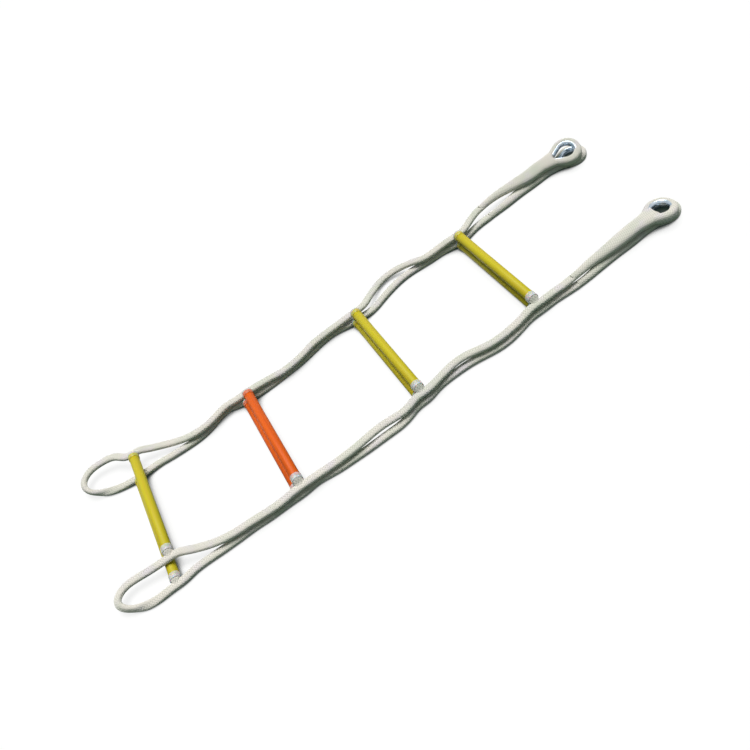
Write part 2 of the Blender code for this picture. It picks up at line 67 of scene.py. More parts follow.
# The two side ropes are off-white braid, 16 mm thick. Each is one length, from its first eye past
# rungs 1 to 4, round the fold and past rungs 5 to 8 to its second eye, and it lies as it was
# dropped. Its ends are turned back round the thimbles and spliced into the rope itself.
ROPE_RADIUS = 0.008
GAP = 0.0003
KNOT_OFFSET = 0.162
KNOT_HALF_LENGTH = 0.010
KNOT_HEIGHT = {"top": 0.0280, "bottom": 0.0092}
KNOT_LIFT = {("left", 4): 0.004, ("right", 4): 0.0033}
ROPE_LEAD = 0.004
CURVE_PIECES = 24
MIDDLE_Y = -0.0076
LAYER_HEIGHT = {"top": 3 * ROPE_RADIUS + GAP, "bottom": ROPE_RADIUS}
SIDES = {"left": 1, "right": -1}
TOP_ROW = (1, 2, 3, 4)
LOOP_TIP_OUT = {"left": 0.0175, "right": 0.0105}

# Eyes: reach from the end rung, offset outward of the knots, height of the middle, and turn about
# the vertical, rise towards the crown and rise towards the left, in degrees.
EYE_PLACE = {
    ("left", 1): (0.336, 0.0298, 0.0335, -8, 3, 20),
    ("left", 8): (0.3523, 0.0365, 0.0082, -3, 0, 0),
    ("right", 1): (0.335, -0.0278, 0.0270, 3, -3, 0),
    ("right", 8): (0.3493, -0.0375, 0.0082, 8, 0, 0),
}
THROAT_REACH = 0.070

# Rope routes between their two ends. Each point is the share of the way along the ladder, the
# offset outward from the straight line between the ends, and the lift above the layer's height.
BAY_ROUTES = {
    ("left", 1, 2): [(0.09, 0.005, 0.0016), (0.21, 0.006, 0.0003), (0.32, 0.011, 0.0003),
                     (0.38, 0.022, 0.0003), (0.44, 0.035, -0.0045), (0.52, 0.048, -0.0095),
                     (0.61, 0.055, -0.0126), (0.71, 0.052, -0.0132), (0.80, 0.038, -0.0100),
                     (0.88, 0.021, -0.0038), (0.95, 0.004, 0.0014)],
    ("left", 2, 3): [(0.10, 0.002, 0.0014), (0.20, 0.004, 0.0003), (0.32, 0.004, 0.0003),
                     (0.42, 0.001, 0.0003), (0.52, -0.008, 0.0003), (0.62, -0.011, 0.0003),
                     (0.72, -0.012, 0.0003), (0.82, -0.005, 0.0003), (0.92, -0.002, 0.0016)],
    ("left", 3, 4): [(0.08, -0.002, 0.0018), (0.15, 0.000, 0.0006), (0.23, -0.008, 0.0003),
                     (0.32, -0.021, 0.0003), (0.42, -0.030, 0.0003), (0.52, -0.034, 0.0003),
                     (0.59, -0.031, -0.0012), (0.67, -0.023, -0.0045), (0.76, -0.015, -0.0045),
                     (0.86, -0.008, -0.0016), (0.94, -0.003, 0.0016)],
    ("left", 8, 7): [(0.08, 0.008, 0.0003), (0.20, 0.011, 0.0), (0.32, 0.016, 0.0),
                     (0.44, 0.021, 0.0), (0.55, 0.020, 0.0), (0.66, 0.014, 0.0),
                     (0.77, 0.005, 0.0), (0.88, -0.005, 0.0), (0.95, -0.004, 0.0005)],
    ("left", 7, 6): [(0.08, 0.007, 0.0003), (0.16, 0.012, 0.0), (0.26, 0.011, 0.0),
                     (0.38, 0.005, 0.0), (0.52, -0.002, 0.0), (0.68, -0.004, 0.0),
                     (0.82, -0.005, 0.0), (0.93, -0.003, 0.0004)],
    ("left", 6, 5): [(0.08, 0.011, 0.0003), (0.16, 0.014, 0.0), (0.24, 0.007, 0.0),
                     (0.33, -0.003, 0.0), (0.44, -0.009, 0.0), (0.58, -0.008, 0.0),
                     (0.72, -0.005, 0.0), (0.88, 0.001, 0.0)],
    ("right", 1, 2): [(0.10, 0.004, 0.0014), (0.20, 0.007, 0.0003), (0.33, 0.008, 0.0003),
                      (0.43, 0.005, 0.0003), (0.52, -0.003, 0.0003), (0.61, -0.011, 0.0003),
                      (0.71, -0.015, 0.0003), (0.80, -0.012, 0.0003), (0.89, -0.008, 0.0006)],
    ("right", 2, 3): [(0.08, 0.006, 0.0018), (0.16, 0.007, 0.0005), (0.25, 0.003, 0.0003),
                      (0.36, 0.000, 0.0003), (0.48, 0.002, 0.0003), (0.61, 0.004, 0.0003),
                      (0.74, 0.003, 0.0003), (0.88, 0.000, 0.0007)],
    ("right", 3, 4): [(0.08, 0.005, 0.0018), (0.17, 0.010, 0.0005), (0.28, 0.013, 0.0003),
                      (0.40, 0.016, 0.0003), (0.52, 0.020, 0.0003), (0.64, 0.021, 0.0003),
                      (0.75, 0.017, 0.0003), (0.86, 0.010, 0.0018), (0.94, 0.005, 0.0050)],
    ("right", 8, 7): [(0.08, 0.002, 0.0003), (0.18, 0.008, 0.0), (0.29, 0.011, 0.0),
                      (0.39, 0.008, 0.0), (0.50, 0.000, 0.0), (0.60, -0.006, 0.0),
                      (0.72, -0.009, 0.0), (0.84, -0.010, 0.0), (0.93, -0.007, 0.0003)],
    ("right", 7, 6): [(0.08, 0.008, 0.0003), (0.17, 0.013, 0.0), (0.30, 0.012, 0.0),
                      (0.45, 0.011, 0.0), (0.60, 0.008, 0.0), (0.73, 0.005, 0.0),
                      (0.84, -0.001, 0.0), (0.93, -0.004, 0.0003)],
    ("right", 6, 5): [(0.10, -0.001, 0.0002), (0.22, -0.001, 0.0), (0.34, -0.004, 0.0),
                      (0.50, -0.004, 0.0), (0.66, -0.005, 0.0), (0.80, -0.007, 0.0),
                      (0.92, -0.006, 0.0003)],
}
LOOP_ROUTES = {
    ("left", 4): [(0.08, 0.006, 0.0085), (0.17, 0.018, 0.0082), (0.27, 0.027, 0.0070),
                  (0.38, 0.031, 0.0055), (0.50, 0.033, 0.0040), (0.62, 0.0335, 0.0027),
                  (0.74, 0.032, 0.0017), (0.85, 0.026, 0.0009), (0.94, 0.017, 0.0002)],
    ("left", 5): [(0.10, -0.004, 0.0003), (0.22, -0.009, 0.0), (0.34, -0.013, 0.0),
                  (0.45, -0.016, 0.0003), (0.56, -0.018, 0.0010), (0.66, -0.019, 0.0025),
                  (0.75, -0.019, 0.0050), (0.85, -0.019, 0.0085), (0.93, -0.016, 0.0120)],
    ("right", 4): [(0.07, -0.001, 0.0066), (0.16, -0.005, 0.0035), (0.28, -0.009, 0.0014),
                   (0.40, -0.012, 0.0006), (0.52, -0.015, 0.0004), (0.66, -0.018, 0.0003),
                   (0.78, -0.018, 0.0003), (0.88, -0.015, 0.0002), (0.96, -0.007, -0.0001)],
    ("right", 5): [(0.11, 0.004, 0.0003), (0.23, 0.009, 0.0), (0.34, 0.013, 0.0),
                   (0.44, 0.015, 0.0), (0.54, 0.016, 0.0005), (0.63, 0.0165, 0.0015),
                   (0.72, 0.016, 0.0035), (0.80, 0.015, 0.0060), (0.88, 0.0125, 0.0090),
                   (0.94, 0.009, 0.0123)],
}
LEG_ROUTES = {
    ("left", 1): [(0.08, 0.006, 0.0040), (0.16, 0.015, 0.0034), (0.24, 0.023, 0.0022),
                  (0.32, 0.026, 0.0012), (0.42, 0.028, 0.0007), (0.53, 0.026, 0.0007),
                  (0.64, 0.019, 0.0015), (0.76, 0.010, 0.0028), (0.88, 0.001, 0.0042)],
    ("left", 8): [(0.08, 0.003, 0.0003), (0.19, 0.006, 0.0), (0.30, 0.004, 0.0),
                  (0.42, 0.002, 0.0), (0.53, 0.001, 0.0), (0.66, 0.003, 0.0),
                  (0.78, 0.002, 0.0), (0.89, 0.001, 0.0001)],
    ("right", 1): [(0.08, -0.001, 0.0022), (0.24, 0.000, 0.0006), (0.40, -0.002, 0.0003),
                   (0.56, -0.004, 0.0008), (0.68, -0.002, 0.0020), (0.80, -0.001, 0.0036),
                   (0.91, 0.000, 0.0052)],
    ("right", 8): [(0.08, -0.001, 0.0003), (0.23, 0.004, 0.0), (0.38, 0.008, 0.0),
                   (0.47, 0.007, 0.0), (0.56, 0.005, 0.0), (0.65, 0.003, 0.0),
                   (0.76, 0.001, 0.0), (0.88, 0.001, 0.0001)],
}


def middle_of(node):
    low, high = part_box(node)
    return (low + high) / 2


def layer_of(number):
    return "top" if number in TOP_ROW else "bottom"


def knot_place(side, number):
    rung = middle_of(f"rung_tube_{number}")
    height = KNOT_HEIGHT[layer_of(number)] + KNOT_LIFT.get((side, number), 0.0)
    return Vector((rung.x, rung.y + SIDES[side] * KNOT_OFFSET, height))


def loop_tip(side):
    fold = next(joint for joint in frame["joints"] if joint["name"] == "fold")
    across = MIDDLE_Y + SIDES[side] * (KNOT_OFFSET + LOOP_TIP_OUT[side])
    return Vector((fold["pos_m"][0], across, fold["pos_m"][2]))


def eye_frame(side, number):
    """The eye's place and turn: its own +X points from the throat to the crown."""
    reach, outward, height, turn, rise, roll = EYE_PLACE[side, number]
    x = middle_of(f"rung_tube_{number}").x + reach
    y = MIDDLE_Y + SIDES[side] * (KNOT_OFFSET + outward)
    return (
        Matrix.Translation((x, y, height))
        @ Matrix.Rotation(math.radians(turn), 4, "Z")
        @ Matrix.Rotation(math.radians(-rise), 4, "Y")
        @ Matrix.Rotation(math.radians(roll), 4, "X")
    )


def smooth_curve(points, start_way, end_way):
    """Closely spaced points on the smooth curve that leaves and arrives the given ways."""
    lengths = [(b - a).length for a, b in zip(points, points[1:])]
    ways = [Vector(start_way)]
    for k in range(1, len(points) - 1):
        before = (points[k] - points[k - 1]) / lengths[k - 1]
        after = (points[k + 1] - points[k]) / lengths[k]
        ways.append((before * lengths[k] + after * lengths[k - 1]) / (lengths[k - 1] + lengths[k]))
    ways.append(Vector(end_way))
    fine = [points[0]]
    for k, length in enumerate(lengths):
        for n in range(1, CURVE_PIECES + 1):
            t = n / CURVE_PIECES
            fine.append(
                points[k] * (2 * t**3 - 3 * t**2 + 1)
                + ways[k] * length * (t**3 - 2 * t**2 + t)
                + points[k + 1] * (3 * t**2 - 2 * t**3)
                + ways[k + 1] * length * (t**3 - t**2)
            )
    return fine


def rope_between(side, layer, route, start, start_way, end, end_way):
    """A stretch of side rope that leaves its start and reaches its end the given ways."""
    first, last = start + start_way * ROPE_LEAD, end - end_way * ROPE_LEAD
    points = [first]
    for share, outward, lift in route:
        point = first.lerp(last, share)
        height = LAYER_HEIGHT[layer] + lift
        points.append(Vector((point.x, point.y + SIDES[side] * outward, height)))
    points.append(last)
    fine = smooth_curve(points, start_way, end_way)
    for point in fine:
        point.z = max(point.z, ROPE_RADIUS)
    return [start] + fine + [end]


def bay_line(side, first, second):
    """From one rung's knot to the next one's, towards the fold."""
    way = Vector((-1, 0, 0))
    off = way * (KNOT_HALF_LENGTH + GAP)
    return rope_between(side, layer_of(first), BAY_ROUTES[side, first, second],
                        knot_place(side, first) + off, way, knot_place(side, second) - off, way)


def loop_line(side, number):
    """From the knot beside the fold to the tip of the loop."""
    way = Vector((-1, 0, 0))
    along_fold = Vector((0, -1 if number in TOP_ROW else 1, 0))
    return rope_between(side, layer_of(number), LOOP_ROUTES[side, number],
                        knot_place(side, number) + way * (KNOT_HALF_LENGTH + GAP), way,
                        loop_tip(side), along_fold)


def leg_line(side, number):
    """From the end rung's knot to the throat of the eye."""
    way = Vector((1, 0, 0))
    eye = eye_frame(side, number)
    return rope_between(side, layer_of(number), LEG_ROUTES[side, number],
                        knot_place(side, number) + way * (KNOT_HALF_LENGTH + GAP), way,
                        eye @ Vector((-THROAT_REACH, 0, 0)), eye.to_3x3() @ way)


RING_STEP = 0.0012
EASE_LENGTH = 0.010
EASE_REACH = 24


class RopeLine:
    """A rope's centreline as evenly spaced points, with the places of its marks along it.

    The rope is a little stiff, so it eases each corner of its route over some 10 mm.
    """

    def __init__(self, points, marks, eased=False):
        points = np.array(points, float)
        travelled = np.concatenate([[0], np.cumsum(np.linalg.norm(np.diff(points, axis=0), axis=1))])
        count = int(round(travelled[-1] / RING_STEP)) + 1
        self.along = np.linspace(0, travelled[-1], count)
        self.points = np.stack([np.interp(self.along, travelled, points[:, k]) for k in range(3)], 1)
        self.marks = {name: travelled[index] for name, index in marks.items()}
        if eased:
            near = np.arange(-EASE_REACH, EASE_REACH + 1) * RING_STEP / EASE_LENGTH
            weights = np.exp(-near**2 / 2)
            weights /= weights.sum()
            first = 2 * self.points[0] - self.points[EASE_REACH:0:-1]
            last = 2 * self.points[-1] - self.points[-2:-EASE_REACH - 2:-1]
            longer = np.concatenate([first, self.points, last])
            eased_axes = [np.convolve(longer[:, k], weights, mode="valid") for k in range(3)]
            self.points = np.stack(eased_axes, 1)

    def between(self, start, end):
        """The indices of the points from one distance to another, both ends kept."""
        first, last = np.searchsorted(self.along, (start, end))
        return np.arange(first, min(last, len(self.along) - 1) + 1)


def side_rope_line(side):
    """The whole side rope, from the throat of its first eye to the throat of its second."""
    points, marks = [], {}

    def follow(stretch):
        points.extend(tuple(point) for point in stretch)

    def mark(name):
        marks[name] = len(points) - 1

    follow(reversed(leg_line(side, 1)))
    for number in (1, 2, 3):
        follow([knot_place(side, number)])
        mark(number)
        follow(bay_line(side, number, number + 1))
    follow([knot_place(side, 4)])
    mark(4)
    follow(loop_line(side, 4))
    mark("fold")
    follow(list(reversed(loop_line(side, 5)))[1:])
    for number in (5, 6, 7):
        follow([knot_place(side, number)])
        mark(number)
        follow(reversed(bay_line(side, number + 1, number)))
    follow([knot_place(side, 8)])
    mark(8)
    follow(leg_line(side, 8))
    return RopeLine(points, marks, eased=True)


# The rope's cover is a braid of twenty strands, ten each way, one over and one under. Each
# crossing stands up as a small pillow, and a strand goes once round the rope in 60 mm.
BRAID_STRANDS = 10
BRAID_LEAD = 0.060
BRAID_RELIEF = 0.0007
BRAID_MEAN_HEIGHT = 0.85
BRAID_SIDES = 60


def braid_height(turn, phase):
    """The height of the strands, 0 in a crevice and 1 on a crossing, for turns and phases."""
    left_hand, right_hand = turn * BRAID_STRANDS + phase, turn * BRAID_STRANDS - phase
    left_share, right_share = left_hand % 1.0, right_hand % 1.0
    left_on_top = (np.floor(left_hand) + np.floor(right_hand)) % 2 < 1
    across = np.where(left_on_top, left_share, right_share)
    along = np.where(left_on_top, right_share, left_share)
    round_strand = 1 - np.abs(2 * across - 1) ** 2
    dive = 1 - np.abs(2 * along - 1) ** 4
    return np.sqrt(np.clip(round_strand * dive, 0, 1))


def braided_tube(name, points, phases, half_widths, half_heights,
                 fullness=1.0, rolls=0.0, bows=0.0, plumb=False):
    """A closed mesh tube round the points, with the braid standing up on its surface.

    The fullness squares its oval, the rolls turn it about its own line, the bows draw the sides
    of its rings forward, and plumb rings stay upright where the line dips.
    """
    count = len(points)
    ways = np.gradient(points, axis=0)
    if plumb:
        ways[:, 2] = 0.0
    ways /= np.linalg.norm(ways, axis=1)[:, None]
    level = np.cross((0.0, 0.0, 1.0), ways)
    level /= np.linalg.norm(level, axis=1)[:, None]
    upright = np.cross(ways, level)
    rolls = np.broadcast_to(rolls, count)[:, None]
    across = level * np.cos(rolls) + upright * np.sin(rolls)
    up = upright * np.cos(rolls) - level * np.sin(rolls)
    turn = np.arange(BRAID_SIDES) / BRAID_SIDES
    cosine, sine = np.cos(2 * math.pi * turn), np.sin(2 * math.pi * turn)
    power = np.broadcast_to(fullness, count)[:, None]
    wide = np.sign(cosine) * np.abs(cosine) ** power * half_widths[:, None]
    high = np.sign(sine) * np.abs(sine) ** power * half_heights[:, None]
    relief = (braid_height(turn[None, :], phases[:, None]) - BRAID_MEAN_HEIGHT) * BRAID_RELIEF
    radius = np.hypot(wide, high)
    wide, high = wide * (1 + relief / radius), high * (1 + relief / radius)
    forward = np.broadcast_to(bows, count)[:, None] * (wide / half_widths[:, None]) ** 2
    rings = points[:, None, :] + ways[:, None, :] * forward[..., None]
    rings += across[:, None, :] * wide[..., None] + up[:, None, :] * high[..., None]

    ring, side = np.meshgrid(np.arange(count - 1), np.arange(BRAID_SIDES), indexing="ij")
    after = (side + 1) % BRAID_SIDES
    quads = np.stack([
        ring * BRAID_SIDES + side, ring * BRAID_SIDES + after,
        (ring + 1) * BRAID_SIDES + after, (ring + 1) * BRAID_SIDES + side,
    ], -1)
    first_cap = list(range(BRAID_SIDES))[::-1]
    last_cap = [(count - 1) * BRAID_SIDES + k for k in range(BRAID_SIDES)]
    mesh = bpy.data.meshes.new(name)
    faces = [tuple(face) for face in quads.reshape(-1, 4).tolist()] + [first_cap, last_cap]
    mesh.from_pydata(rings.reshape(-1, 3).tolist(), [], faces)

    turns = np.stack([side, side + 1, side + 1, side], -1) / BRAID_SIDES
    rows = np.stack([ring, ring, ring + 1, ring + 1], -1)
    strands = np.stack([turns * BRAID_STRANDS, phases[rows]], -1).reshape(-1, 2)
    places = np.concatenate([strands, np.zeros((2 * BRAID_SIDES, 2))])
    layer = mesh.uv_layers.new(name="braid")
    layer.uv.foreach_set("vector", places.astype(np.float32).ravel())
    mesh.shade_smooth()
    for face in (mesh.polygons[-2], mesh.polygons[-1]):
        face.use_smooth = False
    piece = bpy.data.objects.new(name, mesh)
    bpy.context.scene.collection.objects.link(piece)
    return piece


# The braid's yarn is dry off-white fibre, a little worn and dusty, faintly blotched with lilac and
# green, with the fine lines of its yarns. Its crevices between the crossings are darkened grey-green
# with painted shade, which leaves the crossings paler.
ROPE_PALE = (0.88, 0.83, 0.78, 1.0)
ROPE_LILAC = (0.84, 0.78, 0.83, 1.0)
ROPE_GREEN = (0.74, 0.76, 0.67, 1.0)
# Grey-green used both for random dust among the fibres and for the painted shade in the crevices.
ROPE_DUST_AND_CREVICE_SHADE = (0.50, 0.51, 0.45, 1.0)
YARNS_IN_STRAND = 4
YARN_RELIEF = 0.10
STRAND_BUMP = 0.0005
FIBRE_BUMP = 0.0002


class Nodes:
    """Short ways to add and join shader nodes in one material."""

    def __init__(self, name, roughness, metallic=0.0):
        self.material = bpy.data.materials.new(name)
        self.material.use_nodes = True
        self.tree = self.material.node_tree
        self.shader = self.tree.nodes["Principled BSDF"]
        self.shader.inputs["Roughness"].default_value = roughness
        self.shader.inputs["Metallic"].default_value = metallic

    def add(self, kind, inputs=None, **settings):
        node = self.tree.nodes.new(kind)
        for name, value in settings.items():
            setattr(node, name, value)
        for key, value in (inputs or {}).items():
            if isinstance(value, bpy.types.NodeSocket):
                self.tree.links.new(value, node.inputs[key])
            else:
                node.inputs[key].default_value = value
        return node

    def maths(self, operation, first, second=0.0):
        return self.add("ShaderNodeMath", {0: first, 1: second}, operation=operation).outputs[0]

    def noise(self, coordinates, scale, detail=2.0, roughness=0.5):
        inputs = {"Vector": coordinates, "Scale": scale, "Detail": detail, "Roughness": roughness}
        return self.add("ShaderNodeTexNoise", inputs).outputs["Fac"]

    def place(self, scale=(1.0, 1.0, 1.0)):
        """The piece's own coordinates in metres, stretched."""
        own = self.add("ShaderNodeTexCoord").outputs["Object"]
        return self.add("ShaderNodeMapping", {"Vector": own, "Scale": scale}).outputs[0]

    def ramp(self, factor, low, high):
        """The factor spread from 0 to 1 between two of its values."""
        inputs = {"Value": factor, "From Min": low, "From Max": high}
        return self.add("ShaderNodeMapRange", inputs).outputs[0]

    def mix(self, factor, first, second):
        node = self.add("ShaderNodeMix", {"Factor": factor, 6: first, 7: second}, data_type="RGBA")
        return node.outputs[2]

    def colour(self, socket):
        self.tree.links.new(socket, self.shader.inputs["Base Color"])

    def bump(self, height, distance, strength=1.0, under=None):
        inputs = {"Height": height, "Distance": distance, "Strength": strength}
        if under is not None:
            inputs["Normal"] = under
        normal = self.add("ShaderNodeBump", inputs).outputs[0]
        self.tree.links.new(normal, self.shader.inputs["Normal"])
        return normal


def braid_material():
    nodes = Nodes("rope_braid", roughness=0.9)
    nodes.shader.inputs["Diffuse Roughness"].default_value = 0.5
    nodes.shader.inputs["Specular IOR Level"].default_value = 0.15
    strands = nodes.add("ShaderNodeUVMap", uv_map="braid").outputs[0]
    split = nodes.add("ShaderNodeSeparateXYZ", {0: strands})
    left_hand = nodes.maths("ADD", split.outputs[0], split.outputs[1])
    right_hand = nodes.maths("SUBTRACT", split.outputs[0], split.outputs[1])
    left_share = nodes.maths("FRACT", left_hand)
    right_share = nodes.maths("FRACT", right_hand)
    floors = nodes.maths("ADD", nodes.maths("FLOOR", left_hand), nodes.maths("FLOOR", right_hand))
    right_on_top = nodes.maths("GREATER_THAN", nodes.maths("FLOORED_MODULO", floors, 2.0), 0.5)
    choice = {"Factor": right_on_top, 2: left_share, 3: right_share}
    across = nodes.add("ShaderNodeMix", choice).outputs[0]
    yarns = nodes.maths("SINE", nodes.maths("MULTIPLY", across, 2 * math.pi * YARNS_IN_STRAND))

    def swell(share):
        rest = nodes.maths("SUBTRACT", 1.0, share)
        return nodes.maths("MULTIPLY", nodes.maths("MULTIPLY", share, rest), 4.0)

    pillow = nodes.maths("POWER", nodes.maths("MULTIPLY", swell(left_share), swell(right_share)), 0.5)
    own = nodes.place()
    green = nodes.ramp(nodes.noise(own, 16.0, 3.0), 0.40, 0.72)
    lilac = nodes.ramp(nodes.noise(nodes.place((1.0, 1.3, 0.9)), 27.0, 2.0), 0.50, 0.75)
    worn = nodes.mix(lilac, nodes.mix(green, ROPE_PALE, ROPE_GREEN), ROPE_LILAC)
    fibre = nodes.noise(own, 900.0, 2.0)
    dusty = nodes.mix(nodes.ramp(fibre, 0.15, 0.55), ROPE_DUST_AND_CREVICE_SHADE, worn)
    soft = nodes.mix(0.85, dusty, worn)
    # Painted shade: the crevices between the strands' crossings take the grey-green colour, the
    # crossings stay pale.
    nodes.colour(nodes.mix(nodes.ramp(pillow, 0.05, 0.65), ROPE_DUST_AND_CREVICE_SHADE, soft))
    strand_height = nodes.maths("ADD", pillow, nodes.maths("MULTIPLY", yarns, YARN_RELIEF))
    strands_bump = nodes.bump(strand_height, STRAND_BUMP, 0.6)
    nodes.bump(fibre, FIBRE_BUMP, 0.4, under=strands_bump)
    return nodes.material


BRAID = braid_material()

# The body, towards the fold, that each rung's tube, collars and cross cord are attached to.
TOWARDS_FOLD = {
    1: "upper_bay_1", 2: "upper_bay_2", 3: "upper_bay_3", 4: "upper_fold",
    5: "lower_fold", 6: "lower_bay_6", 7: "lower_bay_7", 8: "lower_bay_8",
}

# Under its own weight the braid lies flat, wider than it is high. Just past the tip of each loop
# it stands on edge, because flat braid bends more easily that way.
FLAT_HALF_WIDTH = 0.0088
FLAT_HALF_HEIGHT = 0.0056
FLAT_POWER = 0.70
TWIST = {"left": 100, "right": 85}
TWIST_PAST_TIP = 0.038
TWIST_REACH = 0.040

# Towards an eye the rope is doubled by its own spliced end, from a third of the way along the leg.
# Inside the sleeve of the splice it is drawn a little thinner, so that it stays hidden.
SPLICE_START = 0.35
SPLICE_END = 0.95
SPLICE_SHRINK = 0.0014
SPLICE_SHRINK_LENGTH = 0.010
SPLICE_FULLNESS = 0.25
SPLICE_OFFSET = ROPE_RADIUS + 0.0004
SPLICE_CLOSER_BRAID = 0.30


def declare_rope(piece, nodes):
    piece.data.materials.append(BRAID)
    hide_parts(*nodes)


def eye_body(side, number):
    return f"{side}_eye_{number}"


def nodes_at(side, number):
    """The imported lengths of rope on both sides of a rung's knot."""
    towards_fold = {4: f"{side}_loop_4", 5: f"{side}_loop_5"}
    towards_eye = {1: f"{side}_eye_leg_1", 8: f"{side}_eye_leg_8"}
    first = towards_fold.get(number)
    second = towards_eye.get(number)
    if first is None:
        near = number + 1 if number in TOP_ROW else number - 1
        first = f"{side}_rope_{min(near, number)}_{max(near, number)}"
    if second is None:
        near = number - 1 if number in TOP_ROW else number + 1
        second = f"{side}_rope_{min(near, number)}_{max(near, number)}"
    return first, second


def doubled_share(share):
    """How far a splice has doubled the rope, from 0 where it starts to 1 at the eye."""
    t = np.clip((share - SPLICE_START) / (SPLICE_END - SPLICE_START), 0, 1)
    return t * t * (3 - 2 * t)


def lay_side_rope(side):
    """One side rope, in lengths that meet halfway between the rungs, where it never bends."""
    line = side_rope_line(side)
    marks = line.marks
    towards_first_eye = 1 - line.along / marks[1]
    towards_last_eye = (line.along - marks[8]) / (line.along[-1] - marks[8])
    leg_share = np.maximum(towards_first_eye, towards_last_eye)
    doubled = doubled_share(leg_share)
    lead = BRAID_LEAD * (1 - SPLICE_CLOSER_BRAID * doubled)
    phases = np.concatenate([[0], np.cumsum(np.diff(line.along) * BRAID_STRANDS / lead[1:])])
    splice_starts = (
        marks[1] * (1 - SPLICE_START),
        marks[8] + SPLICE_START * (line.along[-1] - marks[8]),
    )
    inside = np.maximum(splice_starts[0] - line.along, line.along - splice_starts[1])
    shrink = SPLICE_SHRINK * np.clip(inside / SPLICE_SHRINK_LENGTH, 0, 1)
    half_widths, half_heights = FLAT_HALF_WIDTH - shrink, FLAT_HALF_HEIGHT - shrink
    past_tip = (line.along - marks["fold"] - TWIST_PAST_TIP) / TWIST_REACH
    rolls = math.radians(TWIST[side]) * np.exp(-past_tip**2)

    def piece_of_rope(name, part):
        return braided_tube(name, line.points[part], phases[part], half_widths[part],
                            half_heights[part], FLAT_POWER, rolls[part])

    cuts = [0.0]
    for before, after in ((1, 2), (2, 3), (3, 4), (4, "fold"), ("fold", 5), (5, 6), (6, 7), (7, 8)):
        cuts.append((marks[before] + marks[after]) / 2)
    cuts.append(line.along[-1])
    for (start, end), mark in zip(zip(cuts, cuts[1:]), (1, 2, 3, 4, "fold", 5, 6, 7, 8)):
        part = line.between(start, end)
        if mark == "fold":
            piece = piece_of_rope(f"{side}_rope_at_fold", part)
            declare_rope(piece, (f"{side}_loop_4", f"{side}_loop_5"))
            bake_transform(piece)
            continue
        piece = piece_of_rope(f"{side}_rope_at_rung_{mark}", part)
        declare_rope(piece, nodes_at(side, mark))
        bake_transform(piece)
    return line, phases, doubled, splice_starts


# Each eye is spliced: the rope's end goes round the thimble and back into the rope. A thick flat
# sleeve of braid is drawn over both legs up to the thimble and narrows slowly towards the rung.
EYE_HOLE_RADIUS = 0.0175
GROOVE_RADIUS = 0.0087
THIMBLE_WALL = 0.001
EYE_BEND_RADIUS = EYE_HOLE_RADIUS + THIMBLE_WALL + GROOVE_RADIUS
THIMBLE_LEG = 0.024
THIMBLE_TAPER = math.radians(31)
THROAT_PULL = 0.7
EYE_BEND_STEPS = 40
TUCK_DEPTH = 0.006
TUCK_SHRINK = 0.0012
SEAT_HALF_WIDTH = 0.0087
SEAT_HALF_HEIGHT = 0.0081
SEAT_FROM_END = 0.020
SEAT_REACH = 0.030

# On the near side of a top eye the rope is fuller and stands higher out of its thimble.
BULGE_WIDTH = 0.0005
BULGE_HEIGHT = {"top": 0.0021, "bottom": 0.0}
BULGE_POWER = 0.75

# The sleeve past the throat: how far from the eye's middle it ends, and its half width and the
# forward bow of its edges at distances past the throat.
COVER_END = {"left": 0.036, "right": 0.0165}
COVER_WIDTHS = [(0.0, 0.0164), (0.015, 0.0178), (0.034, 0.0204), (0.054, 0.0200)]
COVER_BOWS = [(0.0, 0.0), (0.030, 0.0), (0.054, 0.0065)]
COVER_LIFT = 0.0003


def eye_bend(radius, leg, steps):
    """Points round the eye from one leg to the other, in the eye's own frame."""
    corner = math.pi / 2 + THIMBLE_TAPER
    way = Vector((-math.sin(corner), math.cos(corner), 0))
    tangent = Vector((math.cos(corner), math.sin(corner), 0)) * radius
    points = [tangent + way * leg * n / 2 for n in (2, 1)]
    for n in range(steps + 1):
        angle = corner - 2 * corner * n / steps
        points.append(Vector((math.cos(angle), math.sin(angle), 0)) * radius)
    points += [Vector((p.x, -p.y, 0)) for p in (points[1], points[0])]
    return points


def add_eye_rope(side, number):
    """The rope round the thimble, pressed wide by it, both its ends tucked into the splice."""
    eye = eye_frame(side, number)
    bend = eye_bend(EYE_BEND_RADIUS, THIMBLE_LEG, EYE_BEND_STEPS)
    slant = (bend[0] - bend[1]).normalized() * THROAT_PULL
    throat = Vector((-THROAT_REACH, SPLICE_OFFSET, 0))
    closing = smooth_curve([bend[0], throat], slant, (-1, 0, 0))
    tucked = throat - Vector((TUCK_DEPTH, 0, 0))
    outer = [tucked] + list(reversed(closing))
    inner = [Vector((p.x, -p.y, 0)) for p in reversed(outer)]
    line = RopeLine([tuple(eye @ point) for point in outer + bend[1:-1] + inner], {})
    from_end = np.minimum(line.along, line.along[-1] - line.along)
    tucked_in = np.clip(1 - from_end / (2 * TUCK_DEPTH), 0, 1)
    seated = np.clip((from_end - SEAT_FROM_END) / SEAT_REACH, 0, 1)
    front = np.clip((eye.translation.y - line.points[:, 1]) / EYE_BEND_RADIUS, 0, 1) * seated
    bulge = front * front * (3 - 2 * front)
    half_widths = ROPE_RADIUS - TUCK_SHRINK * tucked_in + (SEAT_HALF_WIDTH - ROPE_RADIUS) * seated
    half_heights = ROPE_RADIUS - TUCK_SHRINK * tucked_in + (SEAT_HALF_HEIGHT - ROPE_RADIUS) * seated
    half_widths += BULGE_WIDTH * bulge
    half_heights += BULGE_HEIGHT[layer_of(number)] * bulge
    fullness = 1 - (1 - BULGE_POWER) * bulge
    phases = line.along * BRAID_STRANDS / BRAID_LEAD
    name = f"{side}_eye_{number}_rope"
    roll = math.radians(EYE_PLACE[side, number][5])
    round_way = np.gradient(line.points, axis=0)
    rolls = roll * round_way[:, 0] / np.linalg.norm(round_way, axis=1)
    piece = braided_tube(name, line.points, phases, half_widths, half_heights, fullness, rolls)
    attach(piece, eye_body(side, number))
    declare_rope(piece, [f"{side}_eye_rope_{number}"])


